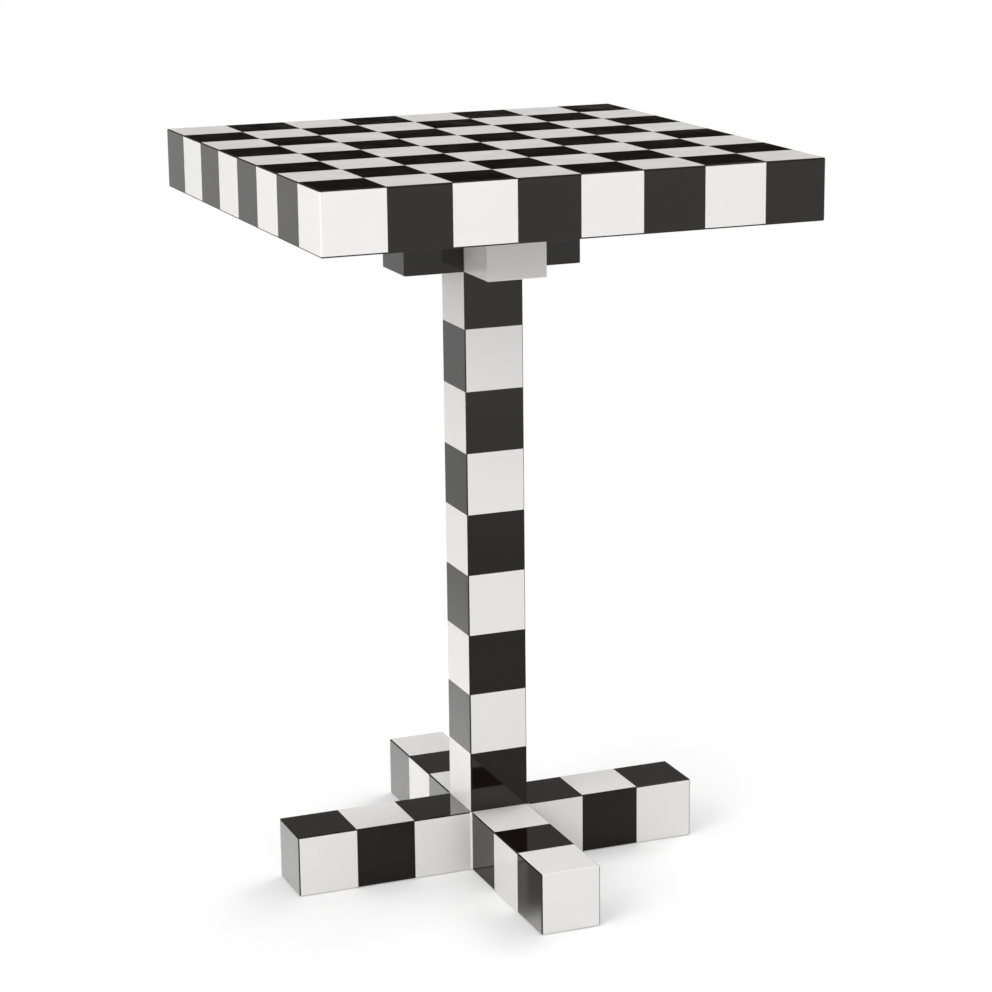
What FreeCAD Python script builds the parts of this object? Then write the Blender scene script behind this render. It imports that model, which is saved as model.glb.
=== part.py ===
import FreeCAD, Part
import math
import os

# Chess table: a hollow inlaid top, an upper cross, a hollow square column and a low cross-shaped base,
# faced all over in black and white squares. Millimetres, +Z up, +X right, -Y front.
# The origin is on the floor under the middle of the column.

V = FreeCAD.Vector

# ---- driving dimensions ----

total_height = 750.0
board_size = 500.0
squares_per_side = 8
top_thickness = 60.0
beam_section = 62.5  # base arms, column and upper cross are all this square
arm_square = 62.5  # length of one square along a base arm
arm_squares = 3  # squares from the column to the end of a base arm
column_square = 63.3  # height of one square on the column; the top one is cut to fit
upper_arm = 62.5  # how far the upper cross stands out past the column

inlay = 1.2  # thickness of every inlaid square
arris = 1.0  # how far the lacquered outer edges are eased back along each face

deck_thickness = 9.0
underside_thickness = 6.0
rail_width = 25.0
tongue_length = 8.0
tongue_thickness = 8.0
rib_thickness = 9.0
rib_housing = 5.0  # how deep a rib end sits in its rail
corner_block_leg = 30.0
block_margin = 30.0  # wood round each insert in the mounting block

stave_thickness = 12.0
end_block_length = 60.0  # inside the column
tenon_length = 15.0  # of each end block, past the column's end

rod_diameter = 10.0
nut_across_flats = 17.0
nut_height = 8.0
plate_washer_side = 30.0
plate_washer_thickness = 3.0
rod_end = 1.5  # thread left standing past each nut

bolt_diameter = 6.0
bolt_length = 80.0
bolt_head_diameter = 16.0  # the wide flat head of a furniture bolt, which needs no washer
bolt_head_height = 3.0
bolt_socket = 4.0  # hexagon key size
bolt_recess = 5.0  # from the cross's underside to the seat of the head
insert_diameter = 10.0
insert_length = 20.0

pad_side = 30.0
pad_thickness = 3.0
pad_stand = 1.0  # how far a pad holds the base off the floor

rod_clearance = 0.5  # all round the rod and the bolts in plain holes
thread_clearance = 0.1
tenon_clearance = 0.1
recess_clearance = 1.0  # round bolt heads and plate washers in their recesses
end_clearance = 1.0  # past the end of a rod, bolt or tenon
glue_room = 0.5  # past the end of a tongue in its groove

# ---- levels and places worked out from them ----

half = beam_section / 2
base_bottom = pad_stand
base_top = base_bottom + beam_section
core_top = base_top - inlay  # the column is let in here, level with the arm squares' backs
cross_top = total_height - top_thickness
cross_bottom = cross_top - beam_section
base_middle = (base_bottom + core_top) / 2
cross_middle = (cross_bottom + cross_top) / 2

arm_reach = half + arm_squares * arm_square
upper_reach = half + upper_arm
core_half = half - inlay
hollow_half = core_half - stave_thickness

board_half = board_size / 2
board_square = board_size / squares_per_side
top_core_half = board_half - inlay
deck_bottom = total_height - inlay - deck_thickness
frame_bottom = cross_top + underside_thickness
rail_inside = top_core_half - rail_width
bolt_offset = half + upper_arm / 2
block_half = bolt_offset + block_margin
rib_offset = block_half + rib_thickness / 2

rod_hole = rod_diameter / 2 + rod_clearance
bolt_hole = bolt_diameter / 2 + rod_clearance
rod_recess = plate_washer_side / 2 + recess_clearance
rod_stack = plate_washer_thickness + nut_height + rod_end
lower_seat = base_bottom + end_clearance + rod_stack
upper_seat = cross_top - end_clearance - rod_stack
bolt_seat = cross_bottom + bolt_recess
pad_place = arm_reach - arm_square / 2

# Compass of the four sides: name, outward normal, and the direction left to right as seen from outside.
sides = {
    "front": (V(0, -1, 0), V(1, 0, 0)),
    "right": (V(1, 0, 0), V(0, 1, 0)),
    "back": (V(0, 1, 0), V(-1, 0, 0)),
    "left": (V(-1, 0, 0), V(0, -1, 0)),
}
up = V(0, 0, 1)


# ---- small shared shapes ----

def block(x0, x1, y0, y1, z0, z1):
    return Part.makeBox(x1 - x0, y1 - y0, z1 - z0, V(x0, y0, z0))


def square_prism(reach_x, reach_y, z0, z1):
    return block(-reach_x, reach_x, -reach_y, reach_y, z0, z1)


def drum(radius, z0, z1, x=0.0, y=0.0):
    return Part.makeCylinder(radius, z1 - z0, V(x, y, z0))


def hexagon(across_flats, z0, z1, x=0.0, y=0.0):
    corner = across_flats / math.sqrt(3)
    points = []
    for k in range(7):
        angle = math.radians(60 * k)
        points.append(V(x + corner * math.cos(angle), y + corner * math.sin(angle), z0))
    return Part.Face(Part.makePolygon(points)).extrude(V(0, 0, z1 - z0))


def eased(shape, wanted):
    """The shape with a narrow arris taken off each edge for which wanted(lowest z, highest z) holds."""
    edges = [edge for edge in shape.Edges if wanted(edge.BoundBox.ZMin, edge.BoundBox.ZMax)]
    return shape.makeChamfer(arris, edges)


def save(node, *solids):
    flat = []
    for solid in solids:
        flat.extend(solid.Solids)
    shape = flat[0] if len(flat) == 1 else Part.makeCompound(flat)
    shape.exportStep(os.path.join("parts", node + ".step"))


# ---- inlaid squares ----
# A square lies on a face given by its origin, its right-hand direction and its up direction.
# Each of its four sides is cut plain (0), mitred back for an outside corner (1), or run on for an
# inside corner (-1), so that the squares of two faces close together at 45 degrees.

def inlaid_square(origin, right, upward, u0, u1, v0, v1, left_cut=0, right_cut=0, low_cut=0, high_cut=0):
    outward = right.cross(upward)
    wedge = Part.makeWedge(
        v0 + low_cut * inlay, -inlay, u0 + left_cut * inlay, u0, v0,
        v1 - high_cut * inlay, 0, u1 - right_cut * inlay, u1, v1,
    )
    wedge.transformShape(FreeCAD.Matrix(
        upward.x, outward.x, right.x, origin.x,
        upward.y, outward.y, right.y, origin.y,
        upward.z, outward.z, right.z, origin.z,
        0, 0, 0, 1,
    ))
    return wedge


class Checker:
    """Collects finished squares by colour."""

    def __init__(self):
        self.black = []
        self.white = []

    def add(self, is_black, square, eased_form):
        piece = square.common(eased_form)
        (self.black if is_black else self.white).append(piece)


# ---- top ----

top_form = eased(square_prism(board_half, board_half, cross_top, total_height), lambda low, high: True)


def board_squares():
    checker = Checker()
    last = squares_per_side - 1
    for i in range(squares_per_side):
        for j in range(squares_per_side):
            square = inlaid_square(
                V(-board_half, -board_half, total_height), V(1, 0, 0), V(0, 1, 0),
                i * board_square, (i + 1) * board_square, j * board_square, (j + 1) * board_square,
                left_cut=int(i == 0), right_cut=int(i == last), low_cut=int(j == 0), high_cut=int(j == last),
            )
            checker.add((i + j) % 2 == 0, square, top_form)
    return checker


def edge_squares():
    """Each edge square takes the colour that the board square beside it doesn't have."""
    checker = Checker()
    last = squares_per_side - 1
    beside = {
        "front": lambda k: (k, 0),
        "right": lambda k: (last, k),
        "back": lambda k: (last - k, last),
        "left": lambda k: (0, last - k),
    }
    for side, (outward, right) in sides.items():
        origin = outward * board_half - right * board_half + up * cross_top
        for k in range(squares_per_side):
            i, j = beside[side](k)
            square = inlaid_square(
                origin, right, up, k * board_square, (k + 1) * board_square, 0, top_thickness,
                left_cut=int(k == 0), right_cut=int(k == last), low_cut=1, high_cut=1,
            )
            checker.add((i + j) % 2 == 1, square, top_form)
    return checker


def bolt_places():
    return [(bolt_offset, 0), (0, bolt_offset), (-bolt_offset, 0), (0, -bolt_offset)]


def underside_panel():
    """A panel whose lower edge flares out under the edge squares to meet them in a mitre."""
    flare = inlaid_square(
        V(-board_half, board_half, cross_top), V(1, 0, 0), V(0, -1, 0),
        0, board_size, 0, board_size, 1, 1, 1, 1,
    ).common(top_form)
    panel = square_prism(top_core_half, top_core_half, cross_top + inlay, frame_bottom).fuse(flare)
    for x, y in bolt_places():
        panel = panel.cut(drum(bolt_hole, cross_top, frame_bottom, x, y))
    return panel.removeSplitter()


def top_deck():
    return square_prism(top_core_half, top_core_half, deck_bottom, total_height - inlay)


def tongue(side, grow=0.0):
    """The tongue on each end of a side rail; the groove in the front and back rails is the same, deeper."""
    sign = 1 if side == "right" else -1
    middle = (frame_bottom + deck_bottom) / 2
    x = sign * (top_core_half - rail_width / 2)
    reach = rail_inside + tongue_length + grow
    return block(
        x - rail_width / 2, x + rail_width / 2, -reach, reach,
        middle - tongue_thickness / 2, middle + tongue_thickness / 2,
    )


def core_ribs():
    """Two ribs each way, half-lapped where they cross and housed in the rails."""
    middle = (frame_bottom + deck_bottom) / 2
    reach = rail_inside + rib_housing
    t = rib_thickness / 2
    along_x = []
    along_y = []
    for place in (-rib_offset, rib_offset):
        rib = block(-reach, reach, place - t, place + t, frame_bottom, deck_bottom)
        for cross in (-rib_offset, rib_offset):
            rib = rib.cut(block(cross - t, cross + t, place - t, place + t, middle, deck_bottom))
        along_x.append(rib)
        rib = block(place - t, place + t, -reach, reach, frame_bottom, deck_bottom)
        for cross in (-rib_offset, rib_offset):
            rib = rib.cut(block(place - t, place + t, cross - t, cross + t, frame_bottom, middle))
        along_y.append(rib)
    return along_x, along_y


def edge_rails():
    reach = rail_inside + rib_housing
    t = rib_thickness / 2
    housings = []
    for place in (-rib_offset, rib_offset):
        housings.append(block(-reach, reach, place - t, place + t, frame_bottom, deck_bottom))
        housings.append(block(place - t, place + t, -reach, reach, frame_bottom, deck_bottom))
    rails = {}
    for side, sign in (("front", -1), ("back", 1)):
        y0, y1 = sorted((sign * rail_inside, sign * top_core_half))
        rail = block(-top_core_half, top_core_half, y0, y1, frame_bottom, deck_bottom)
        rails[side] = rail.cut([tongue("left", glue_room), tongue("right", glue_room)] + housings)
    for side, sign in (("left", -1), ("right", 1)):
        x0, x1 = sorted((sign * rail_inside, sign * top_core_half))
        rail = block(x0, x1, -rail_inside, rail_inside, frame_bottom, deck_bottom)
        rails[side] = rail.fuse(tongue(side)).removeSplitter().cut(housings)
    return rails


def corner_blocks():
    blocks = []
    for sx in (-1, 1):
        for sy in (-1, 1):
            x = sx * rail_inside
            y = sy * rail_inside
            points = [
                V(x, y, frame_bottom),
                V(x - sx * corner_block_leg, y, frame_bottom),
                V(x, y - sy * corner_block_leg, frame_bottom),
                V(x, y, frame_bottom),
            ]
            blocks.append(Part.Face(Part.makePolygon(points)).extrude(V(0, 0, deck_bottom - frame_bottom)))
    return blocks


def mounting_block():
    shape = square_prism(block_half, block_half, frame_bottom, deck_bottom)
    deep = max(frame_bottom + insert_length, bolt_seat + bolt_length + end_clearance)
    for x, y in bolt_places():
        shape = shape.cut(drum(insert_diameter / 2, frame_bottom, deep, x, y))
    return shape


def threaded_inserts():
    inserts = []
    for x, y in bolt_places():
        sleeve = drum(insert_diameter / 2, frame_bottom, frame_bottom + insert_length, x, y)
        bore = drum(bolt_diameter / 2 + thread_clearance, frame_bottom, frame_bottom + insert_length, x, y)
        inserts.append(sleeve.cut(bore))
    return inserts


# ---- upper cross ----

def upper_beam(along_x):
    """One beam of the upper cross. Its arms are eased outside the hub; its upper edges stay sharp under the top.
    The black beam along X lies below at the hub and takes the column's tenon, the white one lies over it."""
    reach_x, reach_y = (upper_reach, half) if along_x else (half, upper_reach)
    bar = square_prism(reach_x, reach_y, cross_bottom, cross_top)
    bar = eased(bar, lambda low, high: low < cross_top - arris)
    bar = bar.fuse(square_prism(half, half, cross_bottom, cross_top)).removeSplitter()
    if along_x:
        bar = bar.cut(square_prism(half, half, cross_middle, cross_top))
        bar = bar.cut(mortise(cross_bottom, cross_bottom + tenon_length + end_clearance))
    else:
        bar = bar.cut(square_prism(half, half, cross_bottom, cross_middle))
        bar = bar.cut(square_prism(rod_recess, rod_recess, upper_seat, cross_top))
    bar = bar.cut(drum(rod_hole, cross_bottom, cross_top))
    head_recess = bolt_head_diameter / 2 + recess_clearance
    for x, y in bolt_places():
        if (y == 0) == along_x:
            bar = bar.cut(drum(bolt_hole, cross_bottom, cross_top, x, y))
            bar = bar.cut(drum(head_recess, cross_bottom, bolt_seat, x, y))
    return bar


def top_bolts():
    """Furniture bolts, head down, each turned as one profile with a hexagon socket."""
    head_bottom = bolt_seat - bolt_head_height
    tip = bolt_seat + bolt_length
    shank = bolt_diameter / 2
    head = bolt_head_diameter / 2
    profile = [
        V(0, 0, head_bottom), V(head, 0, head_bottom), V(head, 0, bolt_seat),
        V(shank, 0, bolt_seat), V(shank, 0, tip), V(0, 0, tip), V(0, 0, head_bottom),
    ]
    bolts = []
    for x, y in bolt_places():
        bolt = Part.Face(Part.makePolygon(profile)).revolve(V(0, 0, 0), up, 360)
        bolt = bolt.cut(hexagon(bolt_socket, head_bottom, bolt_seat))
        bolt.translate(V(x, y, 0))
        bolts.append(bolt)
    return bolts


# ---- column ----

column_form = eased(
    square_prism(half, half, core_top, cross_bottom),
    lambda low, high: low < base_top < high,
)


def column_squares():
    """Rows of squares from the base up. The lowest runs on into the base and the highest is cut to fit."""
    checker = Checker()
    length = cross_bottom - base_top
    rows = math.ceil(length / column_square - 1e-6)
    for side, (outward, right) in sides.items():
        origin = outward * half - right * half + up * base_top
        starts_black = side in ("front", "back")
        for k in range(rows):
            low = k * column_square if k else core_top - base_top
            high = min((k + 1) * column_square, length)
            square = inlaid_square(origin, right, up, 0, beam_section, low, high, left_cut=1, right_cut=1)
            checker.add((k % 2 == 0) == starts_black, square, column_form)
    return checker


def column_stave(side):
    """One of four staves, mitred along both edges round the hollow."""
    outward, right = sides[side]
    points = []
    for across, out in ((-1, core_half), (1, core_half), (1, hollow_half), (-1, hollow_half), (-1, core_half)):
        points.append(outward * out + right * across * out + up * core_top)
    return Part.Face(Part.makePolygon(points)).extrude(up * (cross_bottom - core_top))


def end_block(z0, z1):
    """A block glued in one end of the column, standing out of it as a square tenon."""
    return square_prism(hollow_half, hollow_half, z0, z1).cut(drum(rod_hole, z0, z1))


def mortise(z0, z1):
    reach = hollow_half + tenon_clearance
    return square_prism(reach, reach, z0, z1)


# ---- tie rod ----

def tie_rod():
    return drum(rod_diameter / 2, lower_seat - rod_stack, upper_seat + rod_stack)


def rod_nut(z0):
    """A plain nut, its corners turned off at 30 degrees on both faces."""
    z1 = z0 + nut_height
    flat = nut_across_flats / 2
    corner = nut_across_flats / math.sqrt(3)
    bevel = (corner - flat) * math.tan(math.radians(30))
    profile = [
        V(0, 0, z0), V(flat, 0, z0), V(corner, 0, z0 + bevel), V(corner, 0, z1 - bevel), V(flat, 0, z1),
        V(0, 0, z1), V(0, 0, z0),
    ]
    turned = Part.Face(Part.makePolygon(profile)).revolve(V(0, 0, 0), up, 360)
    nut = hexagon(nut_across_flats, z0, z1).common(turned)
    return nut.cut(drum(rod_diameter / 2 + thread_clearance, z0, z1))


def plate_washer(z0):
    reach = plate_washer_side / 2
    plate = square_prism(reach, reach, z0, z0 + plate_washer_thickness)
    return plate.cut(drum(rod_hole, z0, z0 + plate_washer_thickness))


# ---- base ----

def base_beam(along_x):
    """A beam of the base, half-lapped at the hub: the one along X lies over the one along Y.
    The upper one takes the column's tenon, the lower one the tie rod's nut."""
    end = arm_reach - inlay
    if along_x:
        beam = square_prism(end, core_half, base_bottom, core_top)
        beam = beam.cut(square_prism(core_half, core_half, base_bottom, base_middle))
        beam = beam.cut(mortise(core_top - tenon_length - end_clearance, core_top))
    else:
        beam = square_prism(core_half, end, base_bottom, core_top)
        beam = beam.cut(square_prism(core_half, core_half, base_middle, core_top))
        beam = beam.cut(square_prism(rod_recess, rod_recess, base_bottom, lower_seat))
    beam = beam.cut(drum(rod_hole, base_bottom, core_top))
    return beam.cut(felt_pads())


def felt_pads():
    """Square pads, part let into the underside near the end of each arm."""
    reach = pad_side / 2
    pads = []
    for outward, right in sides.values():
        place = outward * pad_place
        pads.append(block(
            place.x - reach, place.x + reach, place.y - reach, place.y + reach, 0, pad_thickness,
        ))
    return pads


def arm_squares_of(pair):
    """Squares of the two arms that point along the named pair of sides: tops, both flanks and the end.
    The side arms start black on top at the column, the front and back arms start white."""
    checker = Checker()
    starts_black = pair == ("left", "right")
    reach_x, reach_y = (arm_reach, half) if starts_black else (half, arm_reach)
    bar = eased(square_prism(reach_x, reach_y, base_bottom, base_top), lambda low, high: high > base_bottom + arris)
    form = bar.cut(square_prism(half, half, core_top, base_top))  # the column's footing
    last = arm_squares - 1
    for side in pair:
        out, across = sides[side]
        left_of_arm = up.cross(out)
        for k in range(arm_squares):
            near = half + k * arm_square
            far = near + arm_square
            top_black = (k % 2 == 0) == starts_black
            end_cut = int(k == last)
            hub_cut = -int(k == 0)
            top = inlaid_square(
                up * base_top, out, left_of_arm, near, far, -half, half,
                right_cut=end_cut, low_cut=1, high_cut=1,
            )
            checker.add(top_black, top, form)
            outbound_flank = inlaid_square(
                up * base_bottom - left_of_arm * half, out, up, near, far, 0, beam_section,
                left_cut=hub_cut, right_cut=end_cut, high_cut=1,
            )
            checker.add(not top_black, outbound_flank, form)
            inbound_flank = inlaid_square(
                up * base_bottom + left_of_arm * half, -out, up, -far, -near, 0, beam_section,
                left_cut=end_cut, right_cut=hub_cut, high_cut=1,
            )
            checker.add(not top_black, inbound_flank, form)
        end = inlaid_square(
            up * base_bottom + out * arm_reach, across, up, -half, half, 0, beam_section,
            left_cut=1, right_cut=1, high_cut=1,
        )
        checker.add((last % 2 == 0) == starts_black, end, form)
    return checker


# ---- all pieces ----

os.makedirs("parts", exist_ok=True)

board = board_squares()
save("board_squares_black", *board.black)
save("board_squares_white", *board.white)
edges = edge_squares()
save("edge_squares_black", *edges.black)
save("edge_squares_white", *edges.white)
save("top_deck", top_deck())
save("underside_panel", underside_panel())
for side, rail in edge_rails().items():
    save("edge_rail_" + side, rail)
ribs_along_x, ribs_along_y = core_ribs()
save("core_ribs_lengthwise", *ribs_along_x)
save("core_ribs_crosswise", *ribs_along_y)
save("corner_blocks", *corner_blocks())
save("mounting_block", mounting_block())
save("threaded_inserts", *threaded_inserts())

save("upper_cross_beam_black", upper_beam(along_x=True))
save("upper_cross_beam_white", upper_beam(along_x=False))
save("top_bolts", *top_bolts())

column = column_squares()
save("column_squares_black", *column.black)
save("column_squares_white", *column.white)
for side in sides:
    save("column_stave_" + side, column_stave(side))
save("column_head_block", end_block(cross_bottom - end_block_length, cross_bottom + tenon_length))
save("column_foot_block", end_block(core_top - tenon_length, core_top + end_block_length))

lower_nut = lower_seat - plate_washer_thickness - nut_height
upper_nut = upper_seat + plate_washer_thickness
save("tie_rod", tie_rod())
save("tie_rod_nuts", rod_nut(lower_nut), rod_nut(upper_nut))
save("tie_rod_plate_washers", plate_washer(lower_seat - plate_washer_thickness), plate_washer(upper_seat))

save("base_beam_side_arms", base_beam(along_x=True))
save("base_beam_front_back", base_beam(along_x=False))
side_arms = arm_squares_of(("left", "right"))
save("side_arm_squares_black", *side_arms.black)
save("side_arm_squares_white", *side_arms.white)
front_back = arm_squares_of(("front", "back"))
save("front_back_arm_squares_black", *front_back.black)
save("front_back_arm_squares_white", *front_back.white)
save("felt_pads", *felt_pads())
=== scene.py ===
import math

import bmesh
import bpy
from mathutils import Matrix, Quaternion, Vector


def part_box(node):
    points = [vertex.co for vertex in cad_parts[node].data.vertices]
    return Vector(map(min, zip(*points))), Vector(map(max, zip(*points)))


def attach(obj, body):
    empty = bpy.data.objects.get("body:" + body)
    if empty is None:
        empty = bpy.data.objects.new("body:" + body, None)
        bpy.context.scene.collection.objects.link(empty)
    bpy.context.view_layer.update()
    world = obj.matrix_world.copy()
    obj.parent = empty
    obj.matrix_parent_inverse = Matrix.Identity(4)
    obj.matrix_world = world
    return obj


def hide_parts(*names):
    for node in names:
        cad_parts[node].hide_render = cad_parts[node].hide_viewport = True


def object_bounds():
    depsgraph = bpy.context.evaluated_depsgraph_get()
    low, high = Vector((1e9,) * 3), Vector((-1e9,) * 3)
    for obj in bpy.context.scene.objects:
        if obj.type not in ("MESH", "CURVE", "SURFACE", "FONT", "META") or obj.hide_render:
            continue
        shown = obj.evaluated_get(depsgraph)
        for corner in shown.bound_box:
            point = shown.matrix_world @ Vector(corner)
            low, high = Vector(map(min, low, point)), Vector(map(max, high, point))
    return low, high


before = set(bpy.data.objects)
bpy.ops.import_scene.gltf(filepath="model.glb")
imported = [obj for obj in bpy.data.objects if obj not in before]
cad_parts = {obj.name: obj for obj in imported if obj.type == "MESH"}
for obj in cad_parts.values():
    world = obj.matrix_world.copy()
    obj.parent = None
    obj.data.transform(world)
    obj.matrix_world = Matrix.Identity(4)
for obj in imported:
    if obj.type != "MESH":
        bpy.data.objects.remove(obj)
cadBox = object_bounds()
mm = 0.001
weld = 0.001 * mm  # points closer than this become one
print("frame loaded with", len(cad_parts), "nodes")


# What the pieces below share: adding a node, starting and closing a geometry tree, writing a
# colour, and turning a modified object into a plain mesh.

noise = "ShaderNodeTexNoise"
vectorMath = "ShaderNodeVectorMath"
plainMath = "ShaderNodeMath"
mixShare, mixFrom, mixTo, mixResult = 0, 6, 7, 2  # the Mix node's sockets for colours
sharpAbove = math.radians(40)  # edges that turn further than this stay sharp


def addNode(tree, kind, settings=None, inputs=None):
    made = tree.nodes.new(kind)
    for name, value in (settings or {}).items():
        setattr(made, name, value)
    given = inputs.items() if isinstance(inputs, dict) else enumerate(inputs or [])
    for name, value in given:
        if isinstance(value, bpy.types.Node):
            value = value.outputs[0]
        if isinstance(value, bpy.types.NodeSocket):
            tree.links.new(value, made.inputs[name])
        else:
            made.inputs[name].default_value = value
    return made


def newTree(name, sockets):
    tree = bpy.data.node_groups.new(name, "GeometryNodeTree")
    for kind, labels in sockets.items():
        for label in labels:
            tree.interface.new_socket(label, in_out="INPUT", socket_type="NodeSocket" + kind)
    tree.interface.new_socket("Geometry", in_out="OUTPUT", socket_type="NodeSocketGeometry")
    return tree, addNode(tree, "NodeGroupInput").outputs


def closeTree(tree, given, shape):
    # Copies turned evenly about the middle of the table, in the material asked for.
    centres = addNode(tree, "GeometryNodePoints", {}, {"Count": given["Turned Copies"]})
    order = addNode(tree, "GeometryNodeInputIndex")
    part = addNode(tree, plainMath, {"operation": "DIVIDE"}, [
        math.radians(360), given["Turned Copies"],
    ])
    turn = addNode(tree, plainMath, {"operation": "MULTIPLY"}, [order, part])
    about = addNode(tree, "ShaderNodeCombineXYZ", {}, {"Z": turn})
    copies = addNode(tree, "GeometryNodeInstanceOnPoints", {}, {
        "Points": centres, "Instance": shape, "Rotation": about,
    })
    realized = addNode(tree, "GeometryNodeRealizeInstances", {}, {"Geometry": copies})
    covered = addNode(tree, "GeometryNodeSetMaterial", {}, {
        "Geometry": realized, "Material": given["Material"],
    })
    addNode(tree, "NodeGroupOutput", {}, {"Geometry": covered})
    return tree


def linear(hexColour):
    channels = [int(hexColour[k:k + 2], 16) / 255 for k in (1, 3, 5)]
    curved = [c / 12.92 if c <= 0.04045 else ((c + 0.055) / 1.055) ** 2.4 for c in channels]
    return curved + [1.0]


def perMetre(sizeInMm):
    return 1 / (sizeInMm * mm)  # the noise scale whose features are about this size


def newObject(name, mesh):
    made = bpy.data.objects.new(name, mesh)
    bpy.context.scene.collection.objects.link(made)
    return made


def plainMesh(piece):
    view = bpy.context.evaluated_depsgraph_get()
    return bpy.data.meshes.new_from_object(piece.evaluated_get(view), depsgraph=view)


def bakeModifiers(piece):
    mesh = plainMesh(piece)
    piece.modifiers.clear()
    piece.data = mesh


def softenEdges(piece):
    # Flat faces keep their own normal and the narrow roundings take up the whole turn.
    piece.data.shade_smooth()
    piece.data.set_sharp_from_angle(angle=sharpAbove)
    weighted = piece.modifiers.new("even gloss", "WEIGHTED_NORMAL")
    weighted.keep_sharp = True
    bakeModifiers(piece)


def formOf(node):
    form = bmesh.new()
    form.from_mesh(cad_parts[node].data)
    bmesh.ops.remove_doubles(form, verts=form.verts, dist=weld)
    nearlyFlat = math.radians(1)
    bmesh.ops.dissolve_limit(form, angle_limit=nearlyFlat, verts=form.verts, edges=form.edges)
    return form


def meshFrom(form, name, material):
    bmesh.ops.dissolve_degenerate(form, dist=weld, edges=form.edges)
    mesh = bpy.data.meshes.new(name)
    form.to_mesh(mesh)
    form.free()
    mesh.materials.append(material)
    return mesh


def seat(piece, slot, *replaced):
    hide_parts(*replaced)
    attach(piece, "root")


# Materials. Each starts from the real finish, and its patterns are sized in millimetres.

def newMaterial(name):
    material = bpy.data.materials.new(name)
    material.use_nodes = True
    tree = material.node_tree
    tree.nodes.clear()
    return material, tree, addNode(tree, "ShaderNodeTexCoord").outputs["Object"]


def closeMaterial(material, settings):
    tree = material.node_tree
    shader = addNode(tree, "ShaderNodeBsdfPrincipled", {}, settings)
    addNode(tree, "ShaderNodeOutputMaterial", {}, {"Surface": shader})
    return material


def sprayedLacquer(name, finish):
    # Polyester lacquer: a trace of orange peel and long slow waves, which show most where it is
    # buffed to a deep gloss.
    material, tree, place = newMaterial(name)
    cloud = addNode(tree, noise, {}, {
        "Vector": place, "Scale": perMetre(finish["cloud"]), "Detail": 3.0,
    })
    haze = addNode(tree, noise, {}, {
        "Vector": place, "Scale": perMetre(finish["haze"]), "Detail": 5.0,
    })
    slow = addNode(tree, noise, {}, {
        "Vector": place, "Scale": perMetre(finish["wave"]), "Detail": 1.0,
    })
    fine = addNode(tree, noise, {}, {
        "Vector": place, "Scale": perMetre(finish["peel"]), "Detail": 2.0,
    })
    colour = addNode(tree, "ShaderNodeMix", {"data_type": "RGBA"}, {
        mixShare: cloud, mixFrom: linear(finish["colour"]), mixTo: linear(finish["cloudColour"]),
    })
    gloss = addNode(tree, "ShaderNodeMapRange", {}, {
        "Value": haze, "From Min": 0.35, "From Max": 0.65,
        "To Min": finish["clear"], "To Max": finish["hazy"],
    })
    waves = addNode(tree, "ShaderNodeBump", {}, {
        "Distance": finish["waveHeight"] * mm, "Height": slow,
    })
    peel = addNode(tree, "ShaderNodeBump", {}, {
        "Distance": finish["peelHeight"] * mm, "Height": fine, "Normal": waves,
    })
    return closeMaterial(material, {
        "Base Color": colour.outputs[mixResult], "Roughness": gloss, "IOR": finish["ior"],
        "Normal": peel,
    })


def sandedFibreboard(name, finish):
    # Medium-density fibreboard, sanded: matt, with short pressed fibres a millimetre or two long.
    material, tree, place = newMaterial(name)
    fibre = addNode(tree, noise, {}, {
        "Vector": place, "Scale": perMetre(finish["fibre"]), "Detail": 6.0,
    })
    blotch = addNode(tree, noise, {}, {
        "Vector": place, "Scale": perMetre(finish["blotch"]), "Detail": 2.0,
    })
    blotchShare = 0.35
    both = addNode(tree, plainMath, {"operation": "MULTIPLY_ADD"}, [blotch, blotchShare, fibre])
    spread = addNode(tree, "ShaderNodeMapRange", {}, {
        "Value": both, "From Min": 0.45, "From Max": 0.9,
    })
    colour = addNode(tree, "ShaderNodeMix", {"data_type": "RGBA"}, {
        mixShare: spread, mixFrom: linear(finish["dark"]), mixTo: linear(finish["pale"]),
    })
    relief = addNode(tree, "ShaderNodeBump", {}, {
        "Distance": finish["relief"] * mm, "Height": fibre,
    })
    return closeMaterial(material, {
        "Base Color": colour.outputs[mixResult], "Roughness": finish["roughness"], "Normal": relief,
    })


def planedBeech(name, grainAlong, finish):
    # Steamed beech, planed: pink-brown, fine straight grain and short dark ray flecks along it.
    material, tree, place = newMaterial(name)
    drawn = [1.0, 1.0, 1.0]
    drawn["xyz".index(grainAlong)] = finish["stretch"]
    along = addNode(tree, "ShaderNodeMapping", {}, {"Vector": place, "Scale": drawn})
    grain = addNode(tree, noise, {}, {
        "Vector": along, "Scale": perMetre(finish["grain"]), "Detail": 4.0,
    })
    flecks = addNode(tree, noise, {}, {
        "Vector": along, "Scale": perMetre(finish["fleck"]), "Detail": 1.0,
    })
    body = addNode(tree, "ShaderNodeMix", {"data_type": "RGBA"}, {
        mixShare: grain, mixFrom: linear(finish["late"]), mixTo: linear(finish["early"]),
    })
    fleckMask = addNode(tree, "ShaderNodeMapRange", {}, {
        "Value": flecks, "From Min": 0.64, "From Max": 0.72, "To Max": 0.6,
    })
    colour = addNode(tree, "ShaderNodeMix", {"data_type": "RGBA"}, {
        mixShare: fleckMask, mixFrom: body.outputs[mixResult], mixTo: linear(finish["flecks"]),
    })
    relief = addNode(tree, "ShaderNodeBump", {}, {
        "Distance": finish["relief"] * mm, "Height": grain,
    })
    return closeMaterial(material, {
        "Base Color": colour.outputs[mixResult], "Roughness": finish["roughness"], "Normal": relief,
    })


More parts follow.
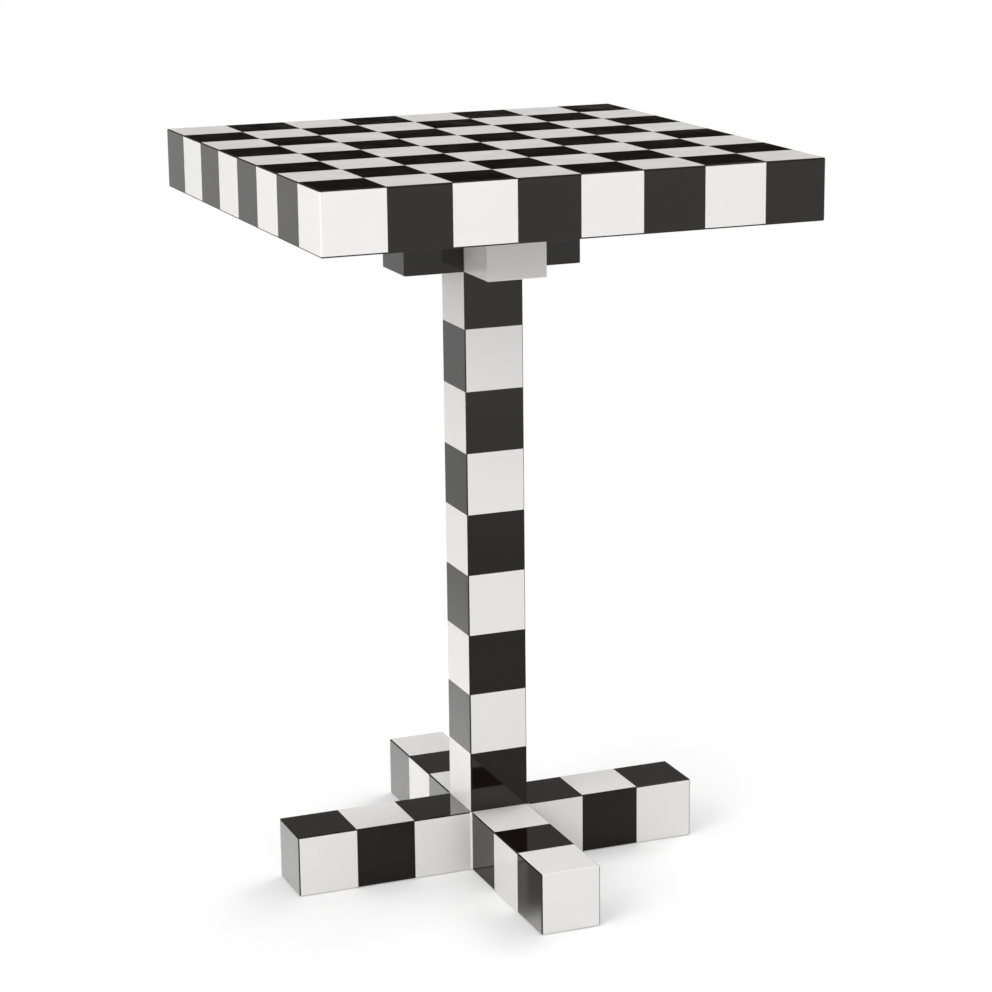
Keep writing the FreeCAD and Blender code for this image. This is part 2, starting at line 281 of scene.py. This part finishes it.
def platedSteel(name, finish):
    # Turned and cold-formed steel, plated in a barrel: fine tumbling marks and cloudy gloss.
    material, tree, place = newMaterial(name)
    cloud = addNode(tree, noise, {}, {
        "Vector": place, "Scale": perMetre(finish["cloud"]), "Detail": 4.0,
    })
    marks = addNode(tree, noise, {}, {
        "Vector": place, "Scale": perMetre(finish["marks"]), "Detail": 5.0,
    })
    colour = addNode(tree, "ShaderNodeMix", {"data_type": "RGBA"}, {
        mixShare: cloud, mixFrom: linear(finish["dark"]), mixTo: linear(finish["pale"]),
    })
    gloss = addNode(tree, "ShaderNodeMapRange", {}, {
        "Value": marks, "From Min": 0.3, "From Max": 0.7,
        "To Min": finish["clear"], "To Max": finish["hazy"],
    })
    relief = addNode(tree, "ShaderNodeBump", {}, {
        "Distance": finish["relief"] * mm, "Height": marks,
    })
    return closeMaterial(material, {
        "Base Color": colour.outputs[mixResult], "Metallic": 1.0, "Roughness": gloss,
        "Normal": relief,
    })


def needledFelt(name, finish):
    # Wool felt, needled and pressed: tangled fibres with a soft pale edge.
    material, tree, place = newMaterial(name)
    tangle = addNode(tree, noise, {}, {
        "Vector": place, "Scale": perMetre(finish["fibre"]), "Detail": 8.0,
    })
    colour = addNode(tree, "ShaderNodeMix", {"data_type": "RGBA"}, {
        mixShare: tangle, mixFrom: linear(finish["dark"]), mixTo: linear(finish["pale"]),
    })
    relief = addNode(tree, "ShaderNodeBump", {}, {
        "Distance": finish["relief"] * mm, "Height": tangle,
    })
    return closeMaterial(material, {
        "Base Color": colour.outputs[mixResult], "Roughness": 0.95, "Sheen Weight": 0.4,
        "Normal": relief,
    })


lacquer = {
    "cloud": 90.0, "haze": 30.0, "ior": 1.55, "wave": 40.0, "waveHeight": 0.035, "peel": 2.6,
    "peelHeight": 0.0012,
}
blackLacquer = sprayedLacquer("black lacquer, sprayed and buffed", lacquer | {
    "colour": "#120c09", "cloudColour": "#17110d", "clear": 0.035, "hazy": 0.075,
})
# The white is packed with pigment up to its surface, which leaves its gloss a little softer.
whiteLacquer = sprayedLacquer("white lacquer, sprayed and buffed", lacquer | {
    "colour": "#f3f1f0", "cloudColour": "#efedeb", "clear": 0.16, "hazy": 0.21,
})
# Out of sight under the top it is left as it comes from the spray gun.
satinLacquer = sprayedLacquer("black lacquer, sprayed and left satin", lacquer | {
    "colour": "#120c09", "cloudColour": "#17110d", "clear": 0.44, "hazy": 0.5,
})
fibreboard = sandedFibreboard("fibreboard, sanded", {
    "fibre": 1.2, "blotch": 14.0, "dark": "#8f6f4c", "pale": "#c2a47c", "relief": 0.03,
    "roughness": 0.85,
})
stainedFibreboard = sandedFibreboard("fibreboard, stained and sealed", {
    "fibre": 1.2, "blotch": 14.0, "dark": "#17120f", "pale": "#2e2620", "relief": 0.03,
    "roughness": 0.6,
})
beech = {
    "stretch": 0.06, "grain": 1.5, "fleck": 0.6, "late": "#b9835a", "early": "#d9ae84",
    "flecks": "#8a5a3a", "relief": 0.02, "roughness": 0.6,
}
beechUpright = planedBeech("beech, planed, grain upright", "z", beech)
beechLengthwise = planedBeech("beech, planed, grain lengthwise", "x", beech)
zincSteel = platedSteel("steel, zinc plated", {
    "cloud": 6.0, "marks": 0.7, "dark": "#a9adb0", "pale": "#cdd0cf", "clear": 0.25, "hazy": 0.42,
    "relief": 0.004,
})
blackSteel = platedSteel("steel, black oxide", {
    "cloud": 5.0, "marks": 0.6, "dark": "#1d1c1b", "pale": "#2f2d2b", "clear": 0.32, "hazy": 0.5,
    "relief": 0.004,
})
felt = needledFelt("wool felt, needled", {
    "fibre": 0.8, "dark": "#1b1a19", "pale": "#3b3936", "relief": 0.15,
})
print("materials ready:", len(bpy.data.materials))


# Squared skins: the lacquered faces of a rounded block, ruled in squares, of which one colour is
# kept. The black runs over every rounding: its middle is black wherever one of the faces that it
# joins is black there.

nought = (0.0, 0.0, 0.0)
halves = (0.5, 0.5, 0.5)
ones = (1.0, 1.0, 1.0)
twos = (2.0, 2.0, 2.0)
facesAlong = (0.35, 0.35, 0.35)  # a face is on a side if its normal points further that way
moreThanNone = 0.5  # for a count of sides
betweenColours = 0.5  # black is 1 and white is 0
nearEnough = 0.25  # how far a stored colour may be from the one it is compared with


def squaredSkinTree():
    tree, given = newTree("squared skin", {
        "Vector": ("Low Corner", "High Corner", "Square Size", "Squares", "Round Low",
                   "Round High", "Painted Low", "Painted High", "Light First"),
        "Float": ("Rounding", "Wanted Black", "Facing From", "Facing To"),
        "Int": ("Rounding Steps", "Turned Copies"),
        "Material": ("Material",),
    })
    steps = given["Rounding Steps"]
    squares = given["Squares"]
    radius = given["Rounding"]

    # A box with one cell for each square and a few more past each end for the rounding.
    cells = addNode(tree, vectorMath, {"operation": "MULTIPLY_ADD"}, [steps, twos, squares])
    lines = addNode(tree, vectorMath, {"operation": "ADD"}, [cells, ones])
    counts = addNode(tree, "ShaderNodeSeparateXYZ", {}, [lines]).outputs
    box = addNode(tree, "GeometryNodeMeshCube", {}, {
        "Size": cells, "Vertices X": counts[0], "Vertices Y": counts[1], "Vertices Z": counts[2],
    })
    here = addNode(tree, "GeometryNodeInputPosition")
    fromEnd = addNode(tree, vectorMath, {"operation": "MULTIPLY_ADD"}, [cells, halves, here])
    count = addNode(tree, vectorMath, {"operation": "SUBTRACT"}, [fromEnd, steps])
    counted = addNode(tree, "GeometryNodeStoreNamedAttribute", {
        "data_type": "FLOAT_VECTOR", "domain": "POINT",
    }, {"Geometry": box, "Name": "square", "Value": count})
    line = addNode(tree, "GeometryNodeInputNamedAttribute", {"data_type": "FLOAT_VECTOR"}, {
        "Name": "square",
    })

    # Each line goes to its joint, and the lines past the ends share out the rounding by angle.
    notBelow = addNode(tree, vectorMath, {"operation": "MAXIMUM"}, [line, nought])
    joint = addNode(tree, vectorMath, {"operation": "MINIMUM"}, [notBelow, squares])
    ruled = addNode(tree, vectorMath, {"operation": "MULTIPLY_ADD"}, [
        joint, given["Square Size"], given["Low Corner"],
    ])
    lowLimit = addNode(tree, vectorMath, {"operation": "MULTIPLY_ADD"}, [
        given["Round Low"], radius, given["Low Corner"],
    ])
    inset = addNode(tree, vectorMath, {"operation": "MULTIPLY"}, [given["Round High"], radius])
    highLimit = addNode(tree, vectorMath, {"operation": "SUBTRACT"}, [given["High Corner"], inset])
    above = addNode(tree, vectorMath, {"operation": "MAXIMUM"}, [ruled, lowLimit])
    core = addNode(tree, vectorMath, {"operation": "MINIMUM"}, [above, highLimit])
    stepAngle = addNode(tree, plainMath, {"operation": "DIVIDE"}, [math.radians(45), steps])
    reaches = []
    for ahead, behind, isRound in ((line, squares, "Round High"), (nought, line, "Round Low")):
        past = addNode(tree, vectorMath, {"operation": "SUBTRACT"}, [ahead, behind])
        only = addNode(tree, vectorMath, {"operation": "MAXIMUM"}, [past, nought])
        angle = addNode(tree, vectorMath, {"operation": "MULTIPLY"}, [only, stepAngle])
        reach = addNode(tree, vectorMath, {"operation": "TANGENT"}, [angle])
        reaches.append(addNode(tree, vectorMath, {"operation": "MULTIPLY"}, [
            reach, given[isRound],
        ]))
    out = addNode(tree, vectorMath, {"operation": "SUBTRACT"}, reaches)
    direction = addNode(tree, vectorMath, {"operation": "NORMALIZE"}, [out])
    surface = addNode(tree, vectorMath, {"operation": "MULTIPLY_ADD"}, [direction, radius, core])
    placed = addNode(tree, "GeometryNodeSetPosition", {}, {
        "Geometry": counted, "Position": surface,
    })
    shaped = addNode(tree, "GeometryNodeMergeByDistance", {}, {
        "Geometry": placed, "Distance": weld,
    })

    # Which painted faces a cell belongs to, and whether one of them is black at its square. The
    # middle of a rounding belongs to both its faces, and its first and last step only to the
    # nearer one.
    facing = addNode(tree, "GeometryNodeInputNormal").outputs["Normal"]
    turnedAway = addNode(tree, vectorMath, {"operation": "SUBTRACT"}, [nought, facing])
    sides = []
    for toward, painted in ((facing, "Painted High"), (turnedAway, "Painted Low")):
        clear = addNode(tree, vectorMath, {"operation": "SUBTRACT"}, [toward, facesAlong])
        only = addNode(tree, vectorMath, {"operation": "MAXIMUM"}, [clear, nought])
        sign = addNode(tree, vectorMath, {"operation": "SIGN"}, [only])
        sides.append(addNode(tree, vectorMath, {"operation": "MULTIPLY"}, [
            sign, given[painted],
        ]))
    side = addNode(tree, vectorMath, {"operation": "ADD"}, sides)
    whole = addNode(tree, vectorMath, {"operation": "FLOOR"}, [line])
    notUnder = addNode(tree, vectorMath, {"operation": "MAXIMUM"}, [whole, nought])
    lastSquare = addNode(tree, vectorMath, {"operation": "SUBTRACT"}, [squares, ones])
    square = addNode(tree, vectorMath, {"operation": "MINIMUM"}, [notUnder, lastSquare])
    total = addNode(tree, vectorMath, {"operation": "DOT_PRODUCT"}, [square, ones])
    shifted = addNode(tree, vectorMath, {"operation": "ADD"}, [
        given["Light First"], total.outputs["Value"],
    ])
    isLight = addNode(tree, vectorMath, {"operation": "MODULO"}, [shifted, twos])
    isDark = addNode(tree, vectorMath, {"operation": "SUBTRACT"}, [ones, isLight])
    darkSides = addNode(tree, vectorMath, {"operation": "DOT_PRODUCT"}, [side, isDark])
    black = addNode(tree, plainMath, {"operation": "GREATER_THAN"}, [
        darkSides.outputs["Value"], moreThanNone,
    ])
    paintedSides = addNode(tree, vectorMath, {"operation": "DOT_PRODUCT"}, [side, ones])
    painted = addNode(tree, plainMath, {"operation": "GREATER_THAN"}, [
        paintedSides.outputs["Value"], moreThanNone,
    ])
    coloured = addNode(tree, "GeometryNodeStoreNamedAttribute", {
        "data_type": "FLOAT", "domain": "FACE",
    }, {"Geometry": shaped, "Name": "black", "Value": black})
    colour = addNode(tree, "GeometryNodeInputNamedAttribute", {"data_type": "FLOAT"}, {
        "Name": "black",
    })

    # The colours come apart along their joints, so that squares which touch at a corner stay
    # separate.
    isJoint = addNode(tree, plainMath, {"operation": "COMPARE"}, [
        colour, betweenColours, nearEnough,
    ])
    parted = addNode(tree, "GeometryNodeSplitEdges", {}, {"Mesh": coloured, "Selection": isJoint})
    isWanted = addNode(tree, plainMath, {"operation": "COMPARE"}, [
        colour, given["Wanted Black"], nearEnough,
    ])
    upward = addNode(tree, "ShaderNodeSeparateXYZ", {}, [facing]).outputs["Z"]
    highEnough = addNode(tree, plainMath, {"operation": "GREATER_THAN"}, [
        upward, given["Facing From"],
    ])
    lowEnough = addNode(tree, plainMath, {"operation": "LESS_THAN"}, [upward, given["Facing To"]])
    inRange = addNode(tree, plainMath, {"operation": "MULTIPLY"}, [highEnough, lowEnough])
    inColour = addNode(tree, plainMath, {"operation": "MULTIPLY"}, [isWanted, painted])
    kept = addNode(tree, plainMath, {"operation": "MULTIPLY"}, [inRange, inColour])
    skin = addNode(tree, "GeometryNodeSeparateGeometry", {"domain": "FACE"}, {
        "Geometry": parted, "Selection": kept,
    })
    for name in ("square", "black"):
        skin = addNode(tree, "GeometryNodeRemoveAttribute", {}, {"Geometry": skin, "Name": name})
    return closeTree(tree, given, skin)


def applyTree(name, tree, values):
    piece = newObject(name, bpy.data.meshes.new(name))
    grown = piece.modifiers.new(tree.name, "NODES")
    grown.node_group = tree
    for item in tree.interface.items_tree:
        if item.in_out == "INPUT":
            grown[item.identifier] = values[item.name]
    return piece


skinTree = squaredSkinTree()
skins = {
    "rounding": 1.5 * mm, "steps": 3, "thickness": cadBox[1].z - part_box("top_deck")[1].z,
}
# Which faces a skin has: between what values the upward part of their normals lies.
allSides = (-2.0, 2.0)
upperSide = (0.02, 2.0)
uprightSides = (-0.02, 0.02)
lowerSide = (-2.0, -0.02)


def addSkin(name, colour, values, replaced, facing=allSides, drill=None):
    isBlack = colour == "black"
    usual = {
        "Rounding": skins["rounding"], "Rounding Steps": skins["steps"],
        "Round Low": ones, "Round High": ones, "Painted Low": ones, "Painted High": ones,
        "Wanted Black": float(isBlack), "Facing From": facing[0], "Facing To": facing[1],
        "Turned Copies": 1, "Material": blackLacquer if isBlack else whiteLacquer,
    }
    piece = applyTree(name, skinTree, usual | values)
    wall = piece.modifiers.new("skin thickness", "SOLIDIFY")
    wall.thickness = skins["thickness"]
    wall.offset = -1
    wall.use_even_offset = True
    if drill:
        holes = piece.modifiers.new("holes", "BOOLEAN")
        holes.object = drill
        holes.solver = "EXACT"
    bakeModifiers(piece)
    softenEdges(piece)
    seat(piece, colour + "_lacquer", replaced)


# The top: a board of eight squares by eight, edge squares of the other colour, and a black
# underside.

top = {
    "squares": 8, "bottom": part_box("underside_panel")[0].z,
    "boltOffset": 62.5 * mm, "boltHoleRadius": 3.5 * mm, "drillDepth": 10 * mm, "drillSides": 32,
}
topSize = cadBox[1] - Vector((cadBox[0].x, cadBox[0].y, top["bottom"]))
topBlock = {
    "Low Corner": (cadBox[0].x, cadBox[0].y, top["bottom"]),
    "High Corner": tuple(cadBox[1]),
    "Square Size": (topSize.x / top["squares"], topSize.y / top["squares"], topSize.z),
    "Squares": (top["squares"], top["squares"], 1.0),
    "Light First": (1.0, 1.0, 0.0),
}
for colour in ("black", "white"):
    addSkin("lacquered_board_" + colour, colour, topBlock, "board_squares_" + colour, upperSide)
    addSkin("lacquered_edge_" + colour, colour, topBlock, "edge_squares_" + colour, uprightSides)
underside = topBlock | {
    "Square Size": tuple(topSize), "Squares": ones, "Light First": nought, "Material": satinLacquer,
}


def boltDrill():
    form = bmesh.new()
    r = top["boltOffset"]
    for x, y in ((r, 0), (-r, 0), (0, r), (0, -r)):
        bmesh.ops.create_cone(
            form, cap_ends=True, segments=top["drillSides"], depth=top["drillDepth"],
            radius1=top["boltHoleRadius"], radius2=top["boltHoleRadius"],
            matrix=Matrix.Translation((x, y, top["bottom"])),
        )
    mesh = bpy.data.meshes.new("bolt_drill")
    form.to_mesh(mesh)
    form.free()
    return newObject("bolt_drill", mesh)


def addUndersideBoard():
    # The panel's own board, without the lacquer skin that stands for its lowest layer and its rim.
    form = formOf("underside_panel")
    skinTop = Vector((0, 0, top["bottom"] + skins["thickness"]))
    everything = form.verts[:] + form.edges[:] + form.faces[:]
    bmesh.ops.bisect_plane(
        form, geom=everything, plane_co=skinTop, plane_no=(0, 0, 1), clear_inner=True,
    )
    bmesh.ops.holes_fill(form, edges=[edge for edge in form.edges if edge.is_boundary])
    bmesh.ops.recalc_face_normals(form, faces=form.faces)
    board = newObject("underside_board", meshFrom(form, "underside_board", fibreboard))
    softenEdges(board)
    seat(board, "fibreboard", "underside_panel")


drill = boltDrill()
addSkin("lacquered_underside", "black", underside, "underside_panel", lowerSide, drill)
bpy.data.objects.remove(drill)
addUndersideBoard()
print("top made")


# The column: nine rows of squares on four faces, the top row cut where it meets the upper cross.

column = {
    "squareHeight": 63.3 * mm, "rows": 9, "head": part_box("upper_cross_beam_black")[0].z,
}
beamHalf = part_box("front_back_arm_squares_white")[1].x
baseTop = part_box("side_arm_squares_black")[1].z
uprightOnly = (1.0, 1.0, 0.0)
columnBlock = {
    "Low Corner": (-beamHalf, -beamHalf, baseTop),
    "High Corner": (beamHalf, beamHalf, column["head"]),
    "Square Size": (2 * beamHalf, 2 * beamHalf, column["squareHeight"]),
    "Squares": (1.0, 1.0, column["rows"]),
    "Round Low": uprightOnly, "Round High": uprightOnly,
    "Painted Low": uprightOnly, "Painted High": uprightOnly,
    "Light First": (1.0, 0.0, 0.0),
}
for colour in ("black", "white"):
    addSkin("lacquered_column_" + colour, colour, columnBlock, "column_squares_" + colour)
print("column made")


# The base: four arms of three squares. The side arms start black on top, the front and back arms
# white.

arms = {"squares": 3, "bottom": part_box("side_arm_squares_white")[0].z}
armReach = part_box("side_arm_squares_black")[1].x
armSquare = (armReach - beamHalf) / arms["squares"]
armHeight = baseTop - arms["bottom"]
sideArm = {
    "Low Corner": (beamHalf, -beamHalf, arms["bottom"]),
    "High Corner": (armReach, beamHalf, baseTop),
    "Square Size": (armSquare, 2 * beamHalf, armHeight),
    "Squares": (arms["squares"], 1.0, 1.0),
    "Round Low": (0.0, 1.0, 0.0), "Painted Low": (0.0, 1.0, 0.0),
    "Light First": (0.0, 1.0, 0.0), "Turned Copies": 2,
}
backArm = {
    "Low Corner": (-beamHalf, beamHalf, arms["bottom"]),
    "High Corner": (beamHalf, armReach, baseTop),
    "Square Size": (2 * beamHalf, armSquare, armHeight),
    "Squares": (1.0, arms["squares"], 1.0),
    "Round Low": (1.0, 0.0, 0.0), "Painted Low": (1.0, 0.0, 0.0),
    "Light First": (0.0, 1.0, 1.0), "Turned Copies": 2,
}
for colour in ("black", "white"):
    addSkin("lacquered_side_arms_" + colour, colour, sideArm, "side_arm_squares_" + colour)
    addSkin(
        "lacquered_front_back_arms_" + colour, colour, backArm, "front_back_arm_squares_" + colour,
    )
print("base made")


# Inner corners of the base: the lacquer gathers there in a narrow hollow fillet.

def innerFilletTree():
    tree, given = newTree("inner fillet", {
        "Float": ("Radius", "Corner", "Low", "High"),
        "Int": ("Steps", "Turned Copies"),
        "Material": ("Material",),
    })
    lines = addNode(tree, plainMath, {"operation": "ADD"}, [given["Steps"], 1.0])
    box = addNode(tree, "GeometryNodeMeshCube", {}, {"Size": ones, "Vertices X": lines})
    here = addNode(tree, "GeometryNodeInputPosition")
    fromEnd = addNode(tree, vectorMath, {"operation": "ADD"}, [here, halves])
    share = addNode(tree, "ShaderNodeSeparateXYZ", {}, [fromEnd]).outputs
    angle = addNode(tree, plainMath, {"operation": "MULTIPLY"}, [share[0], math.radians(90)])
    places = []
    for function in ("COSINE", "SINE"):
        turned = addNode(tree, plainMath, {"operation": function}, [angle])
        hollow = addNode(tree, plainMath, {"operation": "SUBTRACT"}, [turned, 1.0])
        outward = addNode(tree, plainMath, {"operation": "MULTIPLY"}, [hollow, given["Radius"]])
        spread = addNode(tree, plainMath, {"operation": "MULTIPLY"}, [outward, share[1]])
        places.append(addNode(tree, plainMath, {"operation": "SUBTRACT"}, [
            spread, given["Corner"],
        ]))
    level = addNode(tree, "ShaderNodeMapRange", {}, {
        "Value": share[2], "To Min": given["Low"], "To Max": given["High"],
    })
    surface = addNode(tree, "ShaderNodeCombineXYZ", {}, [places[0], places[1], level])
    shaped = addNode(tree, "GeometryNodeSetPosition", {}, {"Geometry": box, "Position": surface})
    closed = addNode(tree, "GeometryNodeMergeByDistance", {}, {
        "Geometry": shaped, "Distance": weld,
    })
    return closeTree(tree, given, closed)


fillets = applyTree("inner_corner_fillets", innerFilletTree(), {
    "Radius": 2.0 * mm, "Steps": 8, "Corner": beamHalf, "Low": arms["bottom"], "High": baseTop,
    "Turned Copies": 4, "Material": whiteLacquer,
})
bakeModifiers(fillets)
softenEdges(fillets)
seat(fillets, "white_lacquer")
print("inner corners made")


# The upper cross: two solid lacquered beams, half-lapped, with their bolt recesses. Their edges
# are rounded further.

crossBeams = {"extraRounding": 0.45 * mm, "steps": 2, "edgesAbove": math.radians(30)}


def addCrossBeam(colour, material):
    node = "upper_cross_beam_" + colour
    name = "lacquered_cross_" + colour
    beam = newObject(name, meshFrom(formOf(node), name, material))
    rounding = beam.modifiers.new("lacquered edges", "BEVEL")
    rounding.limit_method = "ANGLE"
    rounding.angle_limit = crossBeams["edgesAbove"]
    rounding.width = crossBeams["extraRounding"]
    rounding.segments = crossBeams["steps"]
    joined = beam.modifiers.new("closed corners", "WELD")
    joined.merge_threshold = weld
    bakeModifiers(beam)
    softenEdges(beam)
    seat(beam, colour + "_lacquer", node)


addCrossBeam("black", blackLacquer)
addCrossBeam("white", whiteLacquer)
print("upper cross made")


# The parts inside and underneath keep their own shape and get their finish.

inside = {
    fibreboard: (
        "top_deck", "edge_rail_front", "edge_rail_right", "edge_rail_back", "edge_rail_left",
        "core_ribs_lengthwise", "core_ribs_crosswise",
        "column_stave_front", "column_stave_right", "column_stave_back", "column_stave_left",
    ),
    stainedFibreboard: ("base_beam_side_arms", "base_beam_front_back"),
    beechUpright: ("corner_blocks", "column_head_block", "column_foot_block"),
    beechLengthwise: ("mounting_block",),
    zincSteel: ("threaded_inserts", "tie_rod", "tie_rod_nuts", "tie_rod_plate_washers"),
    blackSteel: ("top_bolts",),
    felt: ("felt_pads",),
}
for material, nodes in inside.items():
    for node in nodes:
        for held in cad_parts[node].material_slots:
            held.material = material
print("inner parts finished")


# The studio: a wide white floor that runs to the horizon. In the lacquer a pale band lies above
# it, then darkness, and grey overhead. Large soft lamps light the table from above, left, right
# and front. A bright screen stands behind it, and shows only in the floor's polish, which the
# column and the base mirror.

studio = {
    "floorReach": 200.0,
    "floor": "#ebebeb",
    "whiteFrom": 0.8,  # how far out the near floor starts to turn into the far one, in metres
    "whiteBy": 2.5,
    # What the camera sees of the near floor besides the lamps' light, so that it stays white.
    "lift": 0.195,
    "soft": 0.55,  # the light that comes evenly from the whole sky
    "farGloss": 0.7,  # how much of the far floor's white the lacquer mirrors
    # How much of the near floor's paint it mirrors, and the rest is the floor's own polish.
    "nearGloss": 0.4,
    "polish": "#bcbcbc",
    "polishRoughness": 0.18,
    "screen": {"turn": -160.5, "rise": 26.5, "halfAngle": 8.0, "strength": 6.5},
    "secondReflection": 1.5,  # a count of reflections above this is two or more
    # The sky as the lacquer mirrors it, by degrees above the horizon.
    "mirrored": {
        0.0: "#edecec", 4.4: "#edecec", 6.0: "#1a1918", 11.0: "#1a1918", 18.0: "#787674",
    },
    "aim": Vector((0.0, 0.0, 0.45)),
}
lamps = {
    "overhead": {"turn": 0.0, "rise": 90.0, "away": 3.2, "size": 4.5, "power": 34.0},
    "left": {"turn": -60.0, "rise": 30.0, "away": 3.4, "size": 1.8, "power": 46.0},
    "right": {"turn": 115.0, "rise": 38.0, "away": 3.4, "size": 1.8, "power": 34.0},
    "front": {"turn": -5.0, "rise": 24.0, "away": 3.6, "size": 1.4, "power": 13.0},
}


def fromAngles(turnDegrees, riseDegrees):
    turn = math.radians(turnDegrees)
    rise = math.radians(riseDegrees)
    return Vector((
        math.sin(turn) * math.cos(rise), -math.cos(turn) * math.cos(rise), math.sin(rise),
    ))


def mirrorRays(tree):
    path = addNode(tree, "ShaderNodeLightPath").outputs
    return addNode(tree, plainMath, {"operation": "MAXIMUM"}, [
        path["Is Glossy Ray"], path["Is Transmission Ray"],
    ])


def addFloor():
    mesh = bpy.data.meshes.new("studio_floor")
    r = studio["floorReach"]
    mesh.from_pydata([(-r, -r, 0), (r, -r, 0), (r, r, 0), (-r, r, 0)], [], [(0, 1, 2, 3)])
    floor = newObject("studio_floor", mesh)
    # Studio paint, rolled and worn to a slight polish, which shows only in the lacquer. Far off,
    # where the lamps fall away, what is seen of it stays white.
    material, tree, place = newMaterial("studio paint, rolled and worn")
    away = addNode(tree, vectorMath, {"operation": "LENGTH"}, [place]).outputs["Value"]
    far = addNode(tree, "ShaderNodeMapRange", {"interpolation_type": "SMOOTHSTEP"}, {
        "Value": away, "From Min": studio["whiteFrom"], "From Max": studio["whiteBy"],
    })
    path = addNode(tree, "ShaderNodeLightPath").outputs
    mirrored = mirrorRays(tree)
    toCamera = path["Is Camera Ray"]
    seen = addNode(tree, plainMath, {"operation": "MAXIMUM"}, [toCamera, mirrored])
    paint = addNode(tree, "ShaderNodeBsdfDiffuse", {}, {"Color": linear(studio["floor"])})
    polish = addNode(tree, "ShaderNodeBsdfAnisotropic", {"distribution": "GGX"}, {
        "Color": linear(studio["polish"]), "Roughness": studio["polishRoughness"],
    })
    worn = addNode(tree, plainMath, {"operation": "MULTIPLY"}, [
        mirrored, 1 - studio["nearGloss"],
    ])
    ground = addNode(tree, "ShaderNodeMixShader", {}, [worn, paint, polish])
    lift = addNode(tree, plainMath, {"operation": "MULTIPLY"}, [toCamera, studio["lift"]])
    pale = addNode(tree, "ShaderNodeEmission", {}, {"Strength": lift})
    near = addNode(tree, "ShaderNodeAddShader", {}, [ground, pale])
    farWhite = addNode(tree, "ShaderNodeMapRange", {}, {
        "Value": mirrored, "To Min": 1.0, "To Max": studio["farGloss"],
    })
    white = addNode(tree, "ShaderNodeEmission", {}, {"Strength": farWhite})
    share = addNode(tree, plainMath, {"operation": "MULTIPLY"}, [far, seen])
    both = addNode(tree, "ShaderNodeMixShader", {}, [share, near, white])
    addNode(tree, "ShaderNodeOutputMaterial", {}, {"Surface": both})
    mesh.materials.append(material)


def addSky():
    world = bpy.data.worlds.new("studio")
    bpy.context.scene.world = world
    world.use_nodes = True
    tree = world.node_tree
    tree.nodes.clear()
    direction = addNode(tree, "ShaderNodeTexCoord").outputs["Generated"]
    height = addNode(tree, "ShaderNodeSeparateXYZ", {}, [direction]).outputs["Z"]
    room = addNode(tree, "ShaderNodeValToRGB", {}, [height])
    stops = room.color_ramp.elements
    while len(stops) > 1:
        stops.remove(stops[-1])
    for rise, colour in studio["mirrored"].items():
        position = math.sin(math.radians(rise))
        stop = stops[0] if rise == 0 else stops.new(position)
        stop.position = position
        stop.color = linear(colour)
    path = addNode(tree, "ShaderNodeLightPath").outputs
    screen = studio["screen"]
    plainWhite = (1.0, 1.0, 1.0, 1.0)
    toScreen = addNode(tree, vectorMath, {"operation": "DOT_PRODUCT"}, [
        direction, fromAngles(screen["turn"], screen["rise"]),
    ]).outputs["Value"]
    isScreen = addNode(tree, plainMath, {"operation": "GREATER_THAN"}, [
        toScreen, math.cos(math.radians(screen["halfAngle"])),
    ])
    mirroredTwice = addNode(tree, plainMath, {"operation": "GREATER_THAN"}, [
        path["Glossy Depth"], studio["secondReflection"],
    ])
    screenShare = addNode(tree, plainMath, {"operation": "MULTIPLY"}, [isScreen, mirroredTwice])
    soft, dim, bright, white = (
        addNode(tree, "ShaderNodeBackground", {}, {"Color": colour, "Strength": strength})
        for colour, strength in (
            (plainWhite, studio["soft"]), (room, 1.0), (plainWhite, screen["strength"]),
            (plainWhite, 1.0),
        )
    )
    mirrored = addNode(tree, "ShaderNodeMixShader", {}, [screenShare, dim, bright])
    unseen = addNode(tree, "ShaderNodeMixShader", {}, [mirrorRays(tree), soft, mirrored])
    both = addNode(tree, "ShaderNodeMixShader", {}, [path["Is Camera Ray"], unseen, white])
    addNode(tree, "ShaderNodeOutputWorld", {}, {"Surface": both})


def addLamps():
    for name, lamp in lamps.items():
        light = bpy.data.lights.new("lamp_" + name, "AREA")
        light.shape = "SQUARE"
        light.size = lamp["size"]
        light.energy = lamp["power"]
        back = fromAngles(lamp["turn"], lamp["rise"])
        held = bpy.data.objects.new(light.name, light)
        held.location = studio["aim"] + back * lamp["away"]
        held.rotation_mode = "QUATERNION"
        held.rotation_quaternion = (-back).to_track_quat("-Z", "Y")
        bpy.context.scene.collection.objects.link(held)


camera = {
    "place": (-1.02030, -2.59846, 1.10408),
    "turn": -21.6753,  # degrees round the table from its front
    "rise": 14.3539,
    "roll": -0.6467,
    "lens": 102.733,
    "sensor": 36.0,
    "nearest": 0.1,
    "farthest": 500.0,
}


def addCamera():
    data = bpy.data.cameras.new("camera")
    data.sensor_width = camera["sensor"]
    data.lens = camera["lens"]
    data.clip_start = camera["nearest"]
    data.clip_end = camera["farthest"]
    held = bpy.data.objects.new("camera", data)
    bpy.context.scene.collection.objects.link(held)
    held.location = camera["place"]
    held.rotation_mode = "QUATERNION"
    level = (-fromAngles(camera["turn"], camera["rise"])).to_track_quat("-Z", "Y")
    held.rotation_quaternion = level @ Quaternion((0, 0, 1), math.radians(camera["roll"]))
    bpy.context.scene.camera = held


addFloor()
addSky()
addLamps()
addCamera()
bpy.context.scene.view_settings.view_transform = "Standard"
print("studio ready")
